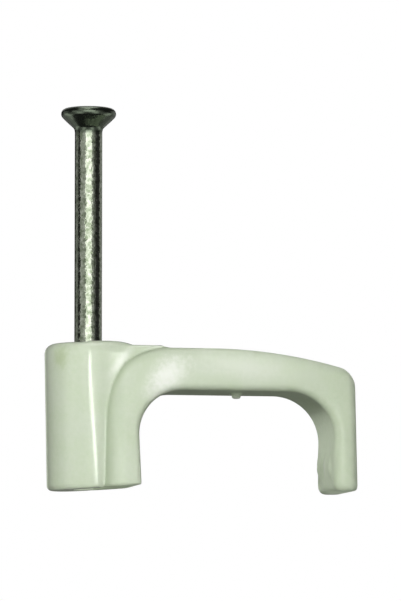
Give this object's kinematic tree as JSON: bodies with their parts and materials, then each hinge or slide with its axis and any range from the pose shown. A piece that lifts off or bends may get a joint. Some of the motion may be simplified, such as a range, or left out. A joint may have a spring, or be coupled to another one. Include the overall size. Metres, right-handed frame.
{
  "type": "nail-in cable clip",
  "caption": "One-piece moulded plastic saddle with a round boss, an arched arm and a hook leg, and a plated countersunk steel nail that fixes it over a flat cable on a wall.",
  "frame": {"origin": "where the nail's axis meets the wall plane that the boss and the hook's foot bear on", "axes": "+Z along the nail, away from the wall; +X from the boss to the hook; Y along the cable"},
  "size_m": [0.0243, 0.007, 0.03],
  "materials": {
    "moulded_plastic": "satin-gloss moulded polyethylene, white with a green-grey tint",
    "plated_steel": "bright zinc plating over drawn steel wire, finely mottled"
  },
  "bodies": {
    "root": {"clip_body": "moulded_plastic", "nail": "plated_steel"}
  },
  "joints": []
}
